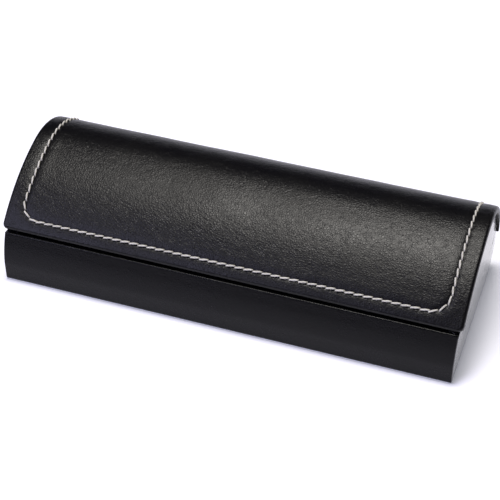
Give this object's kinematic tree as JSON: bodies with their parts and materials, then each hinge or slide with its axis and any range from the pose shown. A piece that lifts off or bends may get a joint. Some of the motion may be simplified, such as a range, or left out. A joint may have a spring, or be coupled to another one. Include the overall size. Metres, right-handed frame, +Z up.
{
  "type": "glasses case",
  "caption": "Long hard-shell glasses case with an arched flap lid on a leather hinge, a hidden magnet closure, and a velvet-lined inside split by a soft divider.",
  "frame": {"origin": "on the table, under the middle of the closed case", "axes": "+X along the hinge, towards the right-hand end seen from the opening side; -Y is the opening side; +Z up"},
  "size_m": [0.165, 0.0651, 0.0398],
  "materials": {
    "black_leather": "pebbled, semi-gloss",
    "spine_leather": "smooth, semi-gloss",
    "velvet": "short flocked pile",
    "card": "pressed fibreboard",
    "steel": "nickel plated",
    "thread": "waxed off-white thread"
  },
  "bodies": {
    "base": {"base_core": "card", "base_wrap": "black_leather", "base_lining": "velvet", "end_board_left": "card", "end_board_right": "card", "end_skin_left": "black_leather", "end_skin_right": "black_leather", "end_lining_left": "velvet", "end_lining_right": "velvet", "wall_magnets": "steel", "front_cushion": "velvet", "back_cushion": "velvet", "divider_strip": "velvet", "hinge_spine": "spine_leather", "hinge_liner": "velvet"},
    "lid": {"lid_core": "card", "lid_cover": "black_leather", "lid_lining": "velvet", "lid_keepers": "steel", "lid_stitching": "thread"},
    "divider": {"divider_board": "card", "divider_cover": "velvet"}
  },
  "joints": [
    {"name": "lid_hinge", "type": "hinge", "parent": "base", "child": "lid", "pos_m": [0, 0.0317, 0.02065], "axis": [-1, 0, 0], "range_deg": [0, 105], "deforming": ["hinge_spine", "hinge_liner"]},
    {"name": "divider_hinge", "type": "hinge", "parent": "base", "child": "divider", "pos_m": [0, 0.001, 0.0045], "axis": [1, 0, 0], "range_deg": [-25, 25]}
  ]
}
